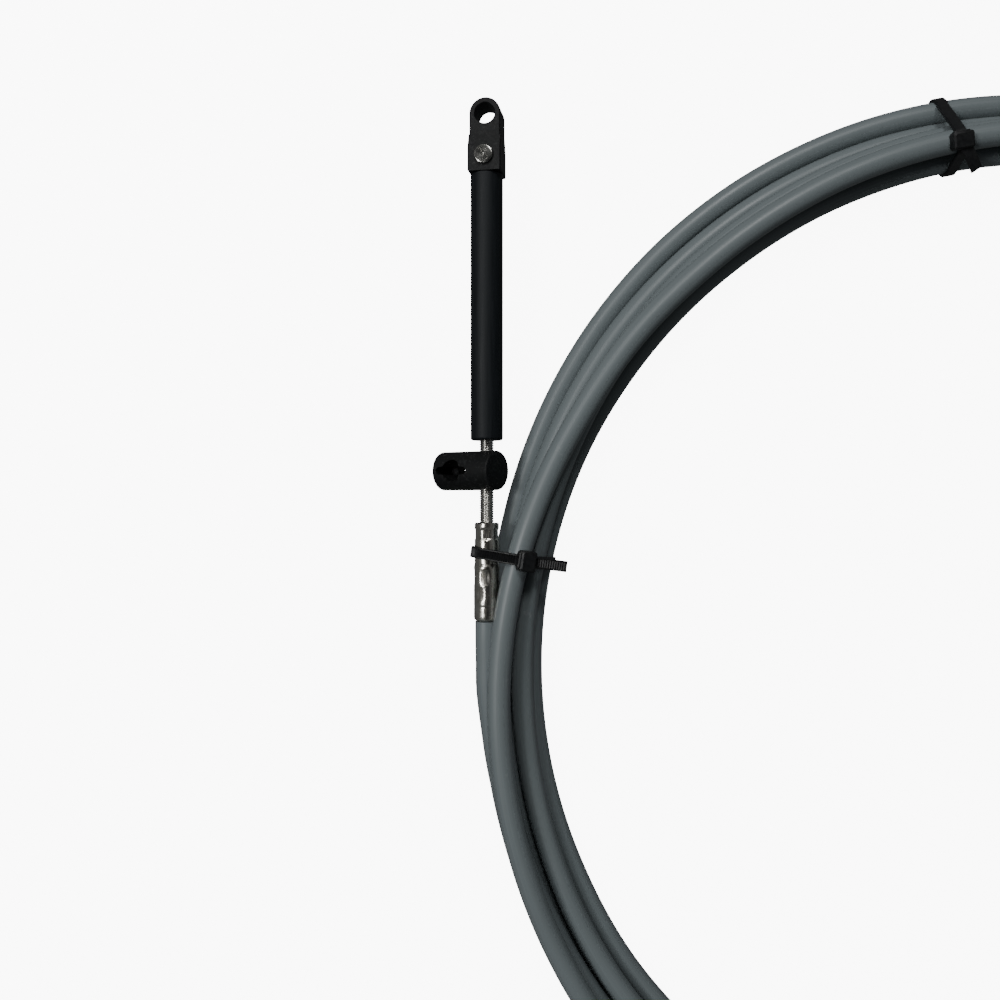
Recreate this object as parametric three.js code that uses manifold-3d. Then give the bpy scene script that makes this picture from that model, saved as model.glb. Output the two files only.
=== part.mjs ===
// Push-pull control cable for throttle and shift, coiled and tied for stock.
// Millimetres, +Z up. While it is laid out, Y runs along the engine end's fittings,
// with Y = 0 where the jacket leaves the engine hub and X = 0 on the fittings' axis.
import * as THREE from 'three';
import { mergeVertices } from 'three/addons/utils/BufferGeometryUtils.js';
import Module from 'manifold-3d';

const wasm = await Module();
wasm.setup();

// Running and seating clearance between neighbouring pieces
const gap = 0.3;

// Cable jacket and coil
const jacketDiameter = 7.8;
const innerTurnRadius = 176.5;
const fittingsOutsideInnerTurn = 15.9;
const coilCentreBelowFoot = 16.7;
const coilSegments = 64;
const scallopStep = 38;
const webHalfAngle = 22;
// Where the upper turns sit in the bundle, in jacket diameters across and in rows up
const middleTurnAcross = 0.44;
const topTurnAcross = 0.95;
const topTurnRows = 1.95;
// The coil is flattened beside the straight helm end: depth as a share of the inner turn's radius, half angle
const flatDepthShare = 0.15864;
const flatHalfAngle = 53;
// The leads leave the coil over these angles, in degrees
const leadStep = 4;
const engineLeadEnd = 204;
const helmLeadStart = -52;
const helmLeadEnd = -32;
const leadCurveSegments = 5;
const engineLeadSteps = 5;
const helmLeadSteps = 6;

// Ties
const strapWidth = 4;
const strapThickness = 1.2;
const tieHeadLength = 6.4;
const tieHeadWidth = 5.6;
const tieHeadHeight = 4;
const tieTailLength = 13;
const tieHeadOffset = 7.2;
const engineTieY = 21.3;
const topTieAngle = 99.5;
const bottomTieAngle = 270;
const helmTieAngle = -16;
const wrapSides = 24;
const crossingStep = 0.5;

// Engine end
const fittingHeight = 17;
const hubLength = 32.8;
const hubDiameter = 8.2;
const hubFootDiameter = 8.7;
const hubFootLength = 18;
const hubChamfer = 0.8;
const grooveWidth = 3.2;
const grooveDepth = 0.7;
const grooveBelowTop = 2.2;
const hubFloor = 8;
const guideDiameter = 4.8;
const guideBore = 3.6;
const guideBelowShoulder = 3.9;
const coreDiameter = 3;
const coreAboveFloor = 6;
const threadLength = 27.6;
const sleeveDiameter = 10.9;
const sleeveLength = 88.9;
const neckDiameter = 8;
const neckLength = 2;
const sleeveEdge = 1.2;
const sleeveEdgeMiddle = 0.3;

// Terminal eye
const eyeTurn = -10;
const eyeWidth = 10.5;
const eyeThickness = 8;
const eyeHoleDiameter = 6.8;
const eyeHoleAboveFoot = 19.5;
const blockWidth = 11.2;
const blockThickness = 11;
const blockHeight = 10.4;
const lugDiameter = 6.4;
const lugLength = 5.6;
const rivetShank = 3;
const rivetHeadDiameter = 6.2;
const rivetHeadHeight = 1;
const rivetTailDiameter = 5;
const rivetTailHeight = 0.8;
const cutReach = 1;

// Anchor barrel on the thread
const barrelDiameter = 12.7;
const barrelLength = 22;
const barrelShortSide = 4.5;
const barrelTilt = 35;
const barrelAboveHub = 17.5;
const keyHoleDiameter = 7.4;
const keyHoleOffset = 10.4;
const keySlotLength = 12;
const keySlotHeight = 2.8;

// Helm end
const helmStartShare = 0.36827;
const helmBesideCoil = 1;
const helmTubeDiameter = 6.9;
const helmTubeLength = 109;
const helmRodDiameter = 4.8;
const helmRodOut = 120;
const helmRodEngagement = 22;
const rodChamfer = 0.6;

// Sides of the round pieces
const thinSides = 16;
const tubeSides = 20;
const roundSides = 24;
const holeSides = 32;
const barrelSides = 40;

const materials = {
  jacket: new THREE.MeshStandardMaterial({ color: 0x8d9193, roughness: 0.45, metalness: 0 }),
  black: new THREE.MeshStandardMaterial({ color: 0x17181a, roughness: 0.5, metalness: 0 }),
  nickel: new THREE.MeshStandardMaterial({ color: 0xb9b6ab, roughness: 0.3, metalness: 1 }),
  steel: new THREE.MeshStandardMaterial({ color: 0xa7a9aa, roughness: 0.3, metalness: 1 }),
};
const part = new THREE.Group();

// Adds one named piece.
function add(name, geometry, material) {
  const mesh = new THREE.Mesh(geometry, material);
  mesh.name = name;
  part.add(mesh);
}

// A closed three.js geometry as a solid that can be joined or cut.
function solid(geometry) {
  const bare = geometry.clone();
  bare.deleteAttribute('normal');
  bare.deleteAttribute('uv');
  const merged = mergeVertices(bare, 1e-4);
  return new wasm.Manifold(new wasm.Mesh({
    numProp: 3,
    vertProperties: Float32Array.from(merged.attributes.position.array),
    triVerts: Uint32Array.from(merged.index.array),
  }));
}

// A joined or cut solid as a three.js geometry.
function geometryOf(body) {
  const mesh = body.getMesh();
  const geometry = new THREE.BufferGeometry();
  geometry.setAttribute('position', new THREE.BufferAttribute(Float32Array.from(mesh.vertProperties), 3));
  geometry.setIndex(new THREE.BufferAttribute(Uint32Array.from(mesh.triVerts), 1));
  return geometry;
}

// A turned piece along +Y from its radius and height pairs, closed on the axis or on itself.
function turned(pairs, sides) {
  return new THREE.LatheGeometry(pairs.map(([radius, height]) => new THREE.Vector2(radius, height)), sides);
}

// A cylinder of one radius between two heights on the Y axis.
function rod(radius, from, to, sides) {
  return turned([[0, from], [radius, from], [radius, to], [0, to]], sides);
}

// Turns a piece made along +Y so that it runs along +Z.
function upright(geometry) {
  return geometry.rotateX(Math.PI / 2);
}

const coilCentreX = innerTurnRadius + fittingsOutsideInnerTurn;
const coilCentreY = -coilCentreBelowFoot;
const nookRadius = coilCentreX;
const flatDepth = flatDepthShare * innerTurnRadius;

// How far the coil's turns lie inside the true circle at an angle in degrees.
function pullAt(angle) {
  const off = Math.acos(Math.cos(THREE.MathUtils.degToRad(angle)));
  const half = THREE.MathUtils.degToRad(flatHalfAngle);
  return off < half ? flatDepth * Math.cos(Math.PI * off / half / 2) ** 2 : 0;
}

// The turns' section: radius and height of each turn on the bundle's outside, anticlockwise.
const turnRadius = jacketDiameter / 2;
const lowest = strapThickness + gap + turnRadius;
const rowRise = jacketDiameter * Math.sqrt(1 - middleTurnAcross ** 2);
const bundle = [
  [innerTurnRadius, lowest],
  [innerTurnRadius + jacketDiameter, lowest],
  [innerTurnRadius + 2 * jacketDiameter, lowest],
  [innerTurnRadius + topTurnAcross * jacketDiameter, lowest + topTurnRows * rowRise],
  [innerTurnRadius + middleTurnAcross * jacketDiameter, lowest + rowRise],
];

// The scalloped outline of a bundle of turns that touch, as radius and height pairs.
function scalloped(centres, radius) {
  const web = THREE.MathUtils.degToRad(webHalfAngle);
  const step = THREE.MathUtils.degToRad(scallopStep);
  const points = [];
  centres.forEach(([r, z], i) => {
    const before = centres.at(i - 1);
    const after = centres[(i + 1) % centres.length];
    const first = Math.atan2(before[1] - z, before[0] - r) + web;
    let last = Math.atan2(after[1] - z, after[0] - r) - web;
    while (last < first) {
      last += 2 * Math.PI;
    }
    const steps = Math.ceil((last - first) / step);
    for (let k = 0; k <= steps; k += 1) {
      const a = first + (last - first) * k / steps;
      points.push([r + radius * Math.cos(a), z + radius * Math.sin(a)]);
    }
  });
  return points;
}

// The coil of jacketed cable: one turned ring, flattened beside the helm end.
function coil() {
  const outline = scalloped(bundle, turnRadius);
  const ring = upright(turned([...outline, outline[0]], coilSegments));
  const position = ring.attributes.position;
  for (let i = 0; i < position.count; i += 1) {
    const x = position.getX(i);
    const y = position.getY(i);
    const angle = Math.atan2(y, x);
    const radius = Math.hypot(x, y) - pullAt(THREE.MathUtils.radToDeg(angle));
    position.setXY(i, coilCentreX + radius * Math.cos(angle), coilCentreY + radius * Math.sin(angle));
  }
  return ring;
}

// A point of the coil's own frame: angle in degrees, radius before the pull, height.
function onCoil(angle, radius, height) {
  const a = THREE.MathUtils.degToRad(angle);
  const r = radius - pullAt(angle);
  return new THREE.Vector3(coilCentreX + r * Math.cos(a), coilCentreY + r * Math.sin(a), height);
}

// A round tube of jacket along a list of points.
function jacketAlong(points, steps) {
  const section = new THREE.Shape();
  section.absarc(0, 0, turnRadius, 0, 2 * Math.PI);
  return new THREE.ExtrudeGeometry(section, {
    steps,
    curveSegments: leadCurveSegments,
    bevelEnabled: false,
    extrudePath: new THREE.CatmullRomCurve3(points, false, 'centripetal'),
  });
}

// Convex outline round circles of one radius, as points in anticlockwise order.
function wrapRound(circles, extra) {
  const cloud = [];
  circles.forEach(([x, y, radius]) => {
    for (let k = 0; k < wrapSides; k += 1) {
      const a = 2 * Math.PI * k / wrapSides;
      cloud.push([x + (radius + extra) * Math.cos(a), y + (radius + extra) * Math.sin(a)]);
    }
  });
  cloud.sort((p, q) => p[0] - q[0] || p[1] - q[1]);
  const half = (points) => {
    const chain = [];
    points.forEach((p) => {
      while (chain.length > 1) {
        const [a, b] = chain.slice(-2);
        if ((b[0] - a[0]) * (p[1] - a[1]) - (b[1] - a[1]) * (p[0] - a[0]) > 1e-9) {
          break;
        }
        chain.pop();
      }
      chain.push(p);
    });
    return chain.slice(0, -1);
  };
  return [...half(cloud), ...half([...cloud].reverse())];
}

// Where a tie crosses the coil at an angle: a point under the innermost turn, and the way outwards.
function crossing(angle) {
  const before = onCoil(angle - crossingStep, innerTurnRadius, 0);
  const along = onCoil(angle + crossingStep, innerTurnRadius, 0).sub(before).normalize();
  return { origin: onCoil(angle, innerTurnRadius, 0), outwards: new THREE.Vector3(along.y, -along.x, 0) };
}

// The height of a convex outline's upper side at a place across it.
function upperSideAt(outline, across) {
  const heights = outline.map(([x, y], i) => {
    const [nextX, nextY] = outline[(i + 1) % outline.length];
    const share = (across - x) / (nextX - x);
    return share >= 0 && share <= 1 ? y + share * (nextY - y) : -Infinity;
  });
  return Math.max(...heights);
}

// A cable tie round the bundle at an angle: strap loop, head and tail moulded in one.
// It lies square to the turns, with local X pointing outwards and local Y up.
function tie(angle, extraCircles) {
  const circles = [...bundle.map(([r, z]) => [r - innerTurnRadius, z, turnRadius]), ...extraCircles];
  const outer = wrapRound(circles, gap + strapThickness);
  const inner = wrapRound(circles, gap);
  const shape = new THREE.Shape(outer.map(([x, y]) => new THREE.Vector2(x, y)));
  shape.holes.push(new THREE.Path(inner.map(([x, y]) => new THREE.Vector2(x, y))));
  const loop = new THREE.ExtrudeGeometry(shape, { depth: strapWidth, bevelEnabled: false });
  loop.translate(0, 0, -strapWidth / 2);
  const headMiddle = upperSideAt(outer, tieHeadOffset) - strapThickness / 2 + tieHeadHeight / 2;
  const head = new THREE.BoxGeometry(tieHeadLength, tieHeadHeight, tieHeadWidth);
  head.translate(tieHeadOffset, headMiddle, 0);
  const tail = new THREE.BoxGeometry(tieTailLength, strapThickness, strapWidth);
  tail.translate(tieHeadOffset - tieTailLength / 2, headMiddle, 0);
  const body = solid(loop).add(solid(head)).add(solid(tail));
  const { origin, outwards } = crossing(angle);
  const up = new THREE.Vector3(0, 0, 1);
  const place = new THREE.Matrix4().makeBasis(outwards, up, new THREE.Vector3().crossVectors(outwards, up));
  place.setPosition(origin);
  return geometryOf(body).applyMatrix4(place);
}

// A crimped hub, its foot at Y = 0, open from the top down to its floor.
function hub(bore) {
  const radius = hubDiameter / 2;
  const foot = hubFootDiameter / 2;
  const grooveTop = hubLength - grooveBelowTop;
  return turned([
    [0, 0],
    [foot - hubChamfer, 0],
    [foot, hubChamfer],
    [foot, hubFootLength],
    [radius, hubFootLength + hubChamfer],
    [radius, grooveTop - grooveWidth],
    [radius - grooveDepth, grooveTop - grooveWidth],
    [radius - grooveDepth, grooveTop],
    [radius, grooveTop],
    [radius, hubLength],
    [bore / 2, hubLength],
    [bore / 2, hubFloor],
    [0, hubFloor],
  ], roundSides);
}

// A plain tube between two heights.
function tube(outside, bore, from, to, sides) {
  return turned([
    [bore / 2, from],
    [outside / 2, from],
    [outside / 2, to],
    [bore / 2, to],
    [bore / 2, from],
  ], sides);
}

const sleeveFoot = hubLength + threadLength;
const sleeveShoulder = sleeveFoot + sleeveLength;
const guideTop = sleeveShoulder - guideBelowShoulder;
const sleeveBore = guideDiameter + 2 * gap;

// The black sleeve that slides over the guide tube, with a neck that the eye seats on.
function slideSleeve() {
  const radius = sleeveDiameter / 2;
  return turned([
    [sleeveBore / 2, sleeveFoot],
    [radius - sleeveEdge, sleeveFoot],
    [radius - sleeveEdgeMiddle * sleeveEdge, sleeveFoot + sleeveEdgeMiddle * sleeveEdge],
    [radius, sleeveFoot + sleeveEdge],
    [radius, sleeveShoulder],
    [neckDiameter / 2, sleeveShoulder],
    [neckDiameter / 2, sleeveShoulder + neckLength],
    [sleeveBore / 2, sleeveShoulder + neckLength],
    [sleeveBore / 2, sleeveFoot],
  ], roundSides);
}

const eyeFoot = sleeveShoulder + gap;
const socketTop = eyeFoot + neckLength;
const lugFoot = socketTop + gap;
const lugTop = lugFoot + lugLength;
const rivetY = lugFoot + lugLength / 2;
const eyeHoleY = eyeFoot + eyeHoleAboveFoot;

// The moulded eye in its own frame: Y along the rod, Z through the hole.
function terminalEye() {
  const outline = new THREE.Shape();
  const half = eyeWidth / 2;
  outline.moveTo(-half, eyeFoot + blockHeight / 2);
  outline.lineTo(half, eyeFoot + blockHeight / 2);
  outline.lineTo(half, eyeHoleY);
  outline.absarc(0, eyeHoleY, half, 0, Math.PI);
  outline.closePath();
  const tongue = new THREE.ExtrudeGeometry(outline, { depth: eyeThickness, curveSegments: thinSides, bevelEnabled: false });
  tongue.translate(0, 0, -eyeThickness / 2);
  const block = new THREE.BoxGeometry(blockWidth, blockHeight, blockThickness);
  block.translate(0, eyeFoot + blockHeight / 2, 0);
  const cross = (diameter, y, reach) => {
    const cutter = new THREE.CylinderGeometry(diameter / 2, diameter / 2, 2 * reach, holeSides);
    return solid(upright(cutter).translate(0, y, 0));
  };
  const socket = rod(neckDiameter / 2 + gap, eyeFoot - cutReach, socketTop + gap / 2, roundSides);
  const lugBore = rod(lugDiameter / 2 + gap, eyeFoot - cutReach, lugTop + gap, roundSides);
  return solid(tongue)
    .add(solid(block))
    .subtract(cross(eyeHoleDiameter, eyeHoleY, blockThickness))
    .subtract(cross(rivetShank + 2 * gap, rivetY, blockThickness))
    .subtract(solid(socket))
    .subtract(solid(lugBore));
}

// The rivet across the eye, turned about Z with its head on the upper face.
function rivet() {
  const face = blockThickness / 2 + gap;
  return upright(turned([
    [0, -face - rivetTailHeight],
    [rivetTailDiameter / 2, -face - rivetTailHeight],
    [rivetTailDiameter / 2, -face],
    [rivetShank / 2, -face],
    [rivetShank / 2, face],
    [rivetHeadDiameter / 2, face],
    [rivetHeadDiameter / 2, face + rivetHeadHeight],
    [0, face + rivetHeadHeight],
  ], roundSides)).translate(0, rivetY, 0);
}

// The core rod with the swaged lug that the rivet passes through.
function coreRod() {
  const radius = coreDiameter / 2;
  const body = solid(turned([
    [0, hubFloor + coreAboveFloor],
    [radius, hubFloor + coreAboveFloor],
    [radius, lugFoot],
    [lugDiameter / 2, lugFoot],
    [lugDiameter / 2, lugTop],
    [0, lugTop],
  ], thinSides));
  const holeRadius = rivetShank / 2 + gap;
  const hole = new THREE.CylinderGeometry(holeRadius, holeRadius, 2 * lugDiameter, roundSides);
  return body.subtract(solid(upright(hole).translate(0, rivetY, 0)));
}

// Turns a piece of the eye about the rod's axis and lifts it to the fittings' height.
function eyePlaced(geometry) {
  return geometry.rotateY(THREE.MathUtils.degToRad(eyeTurn)).translate(0, 0, fittingHeight);
}

// The anchor barrel: threaded across near one end, with a keyed hole near the other.
function barrel() {
  const middle = barrelShortSide - barrelLength / 2;
  const body = new THREE.CylinderGeometry(barrelDiameter / 2, barrelDiameter / 2, barrelLength, barrelSides);
  body.rotateZ(Math.PI / 2).translate(middle, 0, 0);
  const threadRadius = guideDiameter / 2 + gap;
  const thread = new THREE.CylinderGeometry(threadRadius, threadRadius, 2 * barrelDiameter, roundSides);
  const key = new THREE.CylinderGeometry(keyHoleDiameter / 2, keyHoleDiameter / 2, 2 * barrelDiameter, holeSides);
  upright(key).translate(-keyHoleOffset, 0, 0);
  const slot = new THREE.BoxGeometry(keySlotLength, keySlotHeight, 2 * barrelDiameter);
  slot.translate(-keyHoleOffset, 0, 0);
  const cut = solid(body).subtract(solid(thread)).subtract(solid(key)).subtract(solid(slot));
  return geometryOf(cut)
    .rotateY(-THREE.MathUtils.degToRad(barrelTilt))
    .translate(0, hubLength + barrelAboveHub, fittingHeight);
}

add('cable_coil', coil(), materials.jacket);

// Points on the coil's outer nook at the fittings' height, between two angles.
function alongNook(from, to) {
  const points = [];
  for (let angle = from; angle <= to; angle += leadStep) {
    points.push(onCoil(angle, nookRadius, fittingHeight));
  }
  return points;
}

const engineRoute = [
  new THREE.Vector3(0, -gap, fittingHeight),
  new THREE.Vector3(0, coilCentreY / 2, fittingHeight),
  ...alongNook(180, engineLeadEnd),
];
add('engine_lead', jacketAlong(engineRoute, engineLeadSteps), materials.jacket);
add('engine_hub', hub(guideDiameter + 2 * gap).translate(0, 0, fittingHeight), materials.nickel);
add(
  'guide_tube',
  tube(guideDiameter, guideBore, hubFloor + gap, guideTop, thinSides).translate(0, 0, fittingHeight),
  materials.steel,
);
add('slide_sleeve', slideSleeve().translate(0, 0, fittingHeight), materials.black);
add('terminal_eye', eyePlaced(geometryOf(terminalEye())), materials.black);
add('eye_rivet', eyePlaced(rivet()), materials.nickel);
add('core_rod', eyePlaced(geometryOf(coreRod())), materials.steel);
add('anchor_barrel', barrel(), materials.black);

const helmX = coilCentreX + nookRadius - flatDepth + helmBesideCoil;
const helmY = coilCentreY - helmStartShare * innerTurnRadius;
const helmTubeFoot = helmY + hubFloor + gap;
const helmTubeTop = helmY + hubLength + helmTubeLength;
const helmTubeBore = helmRodDiameter + 2 * gap;

// Places a piece made at the engine end's axis on the helm end's axis.
function helmPlaced(geometry, y) {
  return geometry.translate(helmX, y, fittingHeight);
}

const helmRoute = [
  ...alongNook(helmLeadStart, helmLeadEnd),
  new THREE.Vector3(helmX, helmY - jacketDiameter, fittingHeight),
  new THREE.Vector3(helmX, helmY - gap, fittingHeight),
];
add('helm_lead', jacketAlong(helmRoute, helmLeadSteps), materials.jacket);
add('helm_hub', helmPlaced(hub(helmTubeDiameter + 2 * gap), helmY), materials.nickel);
add('helm_tube', helmPlaced(
  tube(helmTubeDiameter, helmTubeBore, 0, helmTubeTop - helmTubeFoot, tubeSides),
  helmTubeFoot,
), materials.steel);
add('helm_rod', helmPlaced(turned([
  [0, helmTubeTop - helmRodEngagement],
  [helmRodDiameter / 2, helmTubeTop - helmRodEngagement],
  [helmRodDiameter / 2, helmTubeTop + helmRodOut - rodChamfer],
  [helmRodDiameter / 2 - rodChamfer, helmTubeTop + helmRodOut],
  [0, helmTubeTop + helmRodOut],
], tubeSides), 0), materials.steel);

// The hub's own circle in a tie's plane at an angle, for a tie that holds the hub too.
function fittingCircle(angle, axisX) {
  const { origin, outwards } = crossing(angle);
  return [(axisX - origin.x) / outwards.x, fittingHeight, hubFootDiameter / 2 + gap];
}

const engineTieAngle = 180 - THREE.MathUtils.radToDeg(Math.asin((engineTieY - coilCentreY) / nookRadius));
add('tie_engine', tie(engineTieAngle, [fittingCircle(engineTieAngle, 0)]), materials.black);
add('tie_top', tie(topTieAngle, []), materials.black);
add('tie_bottom', tie(bottomTieAngle, []), materials.black);
add('tie_helm', tie(helmTieAngle, [fittingCircle(helmTieAngle, helmX)]), materials.black);

const extent = new THREE.Box3().setFromObject(part);
const middle = extent.getCenter(new THREE.Vector3());
part.position.set(-middle.x, -middle.y, -extent.min.z);

export default part;
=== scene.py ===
import math

import bpy
import numpy as np
from mathutils import Matrix, Vector


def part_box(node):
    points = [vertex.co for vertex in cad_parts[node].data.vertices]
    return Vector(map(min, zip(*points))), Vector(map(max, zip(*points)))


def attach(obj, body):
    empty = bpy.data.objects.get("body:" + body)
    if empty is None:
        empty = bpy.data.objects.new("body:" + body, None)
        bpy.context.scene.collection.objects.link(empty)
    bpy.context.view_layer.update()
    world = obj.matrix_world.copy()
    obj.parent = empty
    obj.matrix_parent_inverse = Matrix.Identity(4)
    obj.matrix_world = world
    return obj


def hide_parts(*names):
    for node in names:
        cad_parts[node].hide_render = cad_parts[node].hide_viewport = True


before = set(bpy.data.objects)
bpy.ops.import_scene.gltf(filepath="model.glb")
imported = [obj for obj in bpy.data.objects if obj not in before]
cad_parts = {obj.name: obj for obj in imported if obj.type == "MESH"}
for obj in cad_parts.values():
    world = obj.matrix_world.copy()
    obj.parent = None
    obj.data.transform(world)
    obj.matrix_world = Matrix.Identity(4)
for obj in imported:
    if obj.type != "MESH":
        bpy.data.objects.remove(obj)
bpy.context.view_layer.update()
MM = 0.001

# The layout's own place in the frame: the engine fittings' axis, with Y from the engine hub's foot
sleeve_low, sleeve_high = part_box("slide_sleeve")
hub_low, hub_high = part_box("engine_hub")
helm_low, helm_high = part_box("helm_hub")
AXIS_X = (sleeve_low.x + sleeve_high.x) / 2
FOOT_Y = hub_low.y
FITTING_Z = (sleeve_low.z + sleeve_high.z) / 2 / MM
HELM_X = ((helm_low.x + helm_high.x) / 2 - AXIS_X) / MM
HELM_Y = (helm_low.y - FOOT_Y) / MM

# Sizes in millimetres, as in the part
JACKET = 7.8
COIL_X = 192.4
COIL_Y = -16.7
INNER_TURN = 176.5
PULL = 28
FLAT_HALF = 53
GAP = 0.3
HUB_LENGTH = 32.8
HUB_DIAMETER = 8.2
HUB_FOOT_DIAMETER = 8.7
HUB_FOOT_LENGTH = 18
HUB_FLOOR = 8
GUIDE_DIAMETER = 4.8
GUIDE_BORE = 3.6
GUIDE_TOP = 145.4
THREAD_PITCH = 0.79
THREAD_DEPTH = 0.45
SLEEVE_DIAMETER = 10.9
SLEEVE_FOOT = 60.4
SLEEVE_SHOULDER = 149.3
NECK_DIAMETER = 8
NECK_LENGTH = 2
EYE_FOOT = 149.6
EYE_TURN = -10
EYE_WIDTH = 10.5
EYE_THICKNESS = 8
TONGUE_BACK = 1.5
EYE_HOLE = 6.8
EYE_HOLE_Y = 169.1
BLOCK_WIDTH = 11.2
BLOCK_THICKNESS = 11
BLOCK_HEIGHT = 10.4
LUG_DIAMETER = 6.4
LUG_TOP = 157.5
RIVET_Y = 154.7
RIVET_SHANK = 3
RIVET_HEAD = 6.2
RIVET_RINGS = 22
BARREL_DIAMETER = 13.3
BARREL_LENGTH = 22.9
BARREL_SHORT_SIDE = 4.5
BARREL_TILT = 35
BARREL_Y = 50.3
KEY_HOLE = 7.4
KEY_OFFSET = 10.4
KEY_LENGTH = 12.8
KEY_HEIGHT = 2.8
STRAP_WIDTH = 3.7
STRAP_THICKNESS = 1.1
RIDGE_DEPTH = 0.45
HELM_TUBE = 6.9
HELM_TUBE_BORE = 5.4
HELM_TUBE_TOP = 141.8

# Camera in millimetres from the layout's origin: it looks straight down
EYE_X = 4.44
EYE_Y = 40.4
EYE_Z = 353
LENS = 36


def at(x, y, z):
    """A point of the layout, in millimetres, as a place in the frame, in metres."""
    return Vector((AXIS_X + x * MM, FOOT_Y + y * MM, z * MM))


LAYOUT = Matrix.Translation(at(0, 0, 0)) @ Matrix.Scale(MM, 4)


def link(name, data):
    """A new object in the scene."""
    thing = bpy.data.objects.new(name, data)
    bpy.context.scene.collection.objects.link(thing)
    return thing


def make_camera():
    """The photograph's view, straight down on the engine end."""
    data = bpy.data.cameras.new("camera")
    data.lens = LENS
    data.sensor_width = 36
    camera = link("camera", data)
    camera.location = at(EYE_X, EYE_Y, EYE_Z)
    bpy.context.scene.camera = camera


# Route of the cable


def pull_at(angle):
    """How far the turns lie inside the true circle beside the helm end, in millimetres."""
    off = abs((angle + 180) % 360 - 180)
    return PULL * math.cos(math.pi * off / FLAT_HALF / 2) ** 2 if off < FLAT_HALF else 0


def on_coil(angle, radius):
    """A point of the coil in the layout: angle in degrees from +X, radius before the pull."""
    a = math.radians(angle)
    r = radius - pull_at(angle)
    return np.array((COIL_X + r * math.cos(a), COIL_Y + r * math.sin(a)))


# The lanes that the turns follow: angle, radius and height, in the order in which the cable runs.
# The stretch from 92 to 218 degrees follows the photograph, and the rest is laid beside the same neighbours.
LANES = [
    [(186, 191.6, 15.0), (192, 191.4, 13.8), (200, 191.5, 13.1), (210, 192.0, 11.6), (218, 192.4, 11.4),
     (270, 189.9, 12.2), (330, 187.9, 12.2), (340, 187.4, 12.2), (360, 187.5, 12.1), (382, 188.0, 11.8),
     (394, 191.1, 11.4), (430, 193.2, 8.0), (445, 193.6, 5.4)],
    [(100, 194.7, 5.4), (110, 195.3, 4.2), (120, 195.2, 3.9), (130, 194.7, 3.9), (140, 193.6, 3.9),
     (150, 192.2, 3.9), (160, 190.7, 4.2), (168, 189.8, 5.4), (180, 190.8, 5.0), (190, 191.7, 6.2),
     (200, 193.0, 6.0), (205, 194.2, 5.2), (210, 195.7, 4.4), (215, 197.1, 3.9), (219, 197.7, 3.9),
     (234, 196.0, 3.9), (270, 190.6, 5.4), (344, 191.4, 5.3), (400, 187.8, 4.0), (425, 186.4, 4.4),
     (440, 186.3, 5.0)],
    [(100, 187.1, 5.8), (110, 187.7, 5.4), (120, 187.6, 5.8), (130, 187.2, 6.6), (140, 186.8, 7.6),
     (150, 186.1, 8.3), (160, 185.5, 9.0), (168, 185.2, 9.0), (180, 184.4, 5.0), (190, 185.0, 3.9),
     (200, 186.2, 3.9), (210, 187.2, 3.9), (218, 187.2, 3.9), (270, 183.0, 5.4), (344, 182.9, 5.3),
     (380, 178.6, 4.2), (440, 178.0, 4.2)],
    [(100, 177.8, 5.4), (112, 177.5, 3.9), (130, 176.9, 3.9), (142, 176.9, 3.9), (155, 177.2, 3.9),
     (168, 177.3, 5.4), (180, 177.2, 3.9), (203, 177.3, 3.9), (218, 178.0, 3.9), (270, 175.8, 5.4),
     (330, 177.2, 9.4), (344, 178.6, 11.8), (360, 179.8, 12.2), (382, 180.4, 12.2),
     (400, 183.4, 12.2), (440, 183.6, 12.0)],
    [(101, 183.8, 12.3), (111, 183.6, 12.2), (121, 183.1, 12.3), (131, 182.6, 12.9), (141, 181.8, 13.3),
     (150, 181.3, 13.7), (160, 180.7, 14.3), (168, 180.4, 14.0), (180, 180.4, 11.4), (190, 181.0, 10.4),
     (200, 182.1, 10.4), (210, 183.2, 10.4), (218, 183.7, 11.0), (270, 180.2, 12.6), (330, 183.2, 17.5),
     (360, 184.4, 19.4), (400, 182.0, 19.5), (440, 180.4, 19.5)],
    [(102, 180.4, 19.6), (112, 180.4, 19.6), (122, 180.2, 19.6), (132, 180.4, 20.2), (141, 181.4, 20.5),
     (151, 182.3, 20.8), (160, 184.0, 21.2), (168, 185.7, 21.4), (175, 187.1, 21.3), (180, 188.1, 21.2),
     (185, 189.0, 21.2), (190, 189.9, 21.0), (195, 190.8, 20.7), (199, 191.5, 20.2), (204, 192.4, 19.4),
     (209, 193.3, 18.6), (218, 194.4, 18.6), (240, 192.4, 19.0), (270, 190.0, 19.0), (305, 192.2, 17.6),
     (318, 192.6, 17.0)],
]
COIL_STEP = 3
FINE_STEPS = 3
TUBE_SIDES = 28


def smooth_through(xs, ys, spots):
    """A smooth curve through the keys that never swings past them, read at the spots."""
    h = np.diff(xs)
    slope = np.diff(ys) / h
    tangent = np.zeros_like(ys)
    inner = slope[1:] * slope[:-1] > 0
    before = np.where(inner, slope[:-1], 1)
    after = np.where(inner, slope[1:], 1)
    w1 = 2 * h[1:] + h[:-1]
    w2 = h[1:] + 2 * h[:-1]
    tangent[1:-1] = np.where(inner, (w1 + w2) / (w1 / before + w2 / after), 0)
    i = np.clip(np.searchsorted(xs, spots, side="right") - 1, 0, len(h) - 1)
    t = (spots - xs[i]) / h[i]
    value = (1 + 2 * t) * (1 - t) ** 2 * ys[i] + t * (1 - t) ** 2 * h[i] * tangent[i]
    return value + t * t * (3 - 2 * t) * ys[i + 1] + t * t * (t - 1) * h[i] * tangent[i + 1]


KEYS = np.array([(a + 360 * turn, r, h) for turn, lane in enumerate(LANES) for a, r, h in lane], dtype=float)


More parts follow.
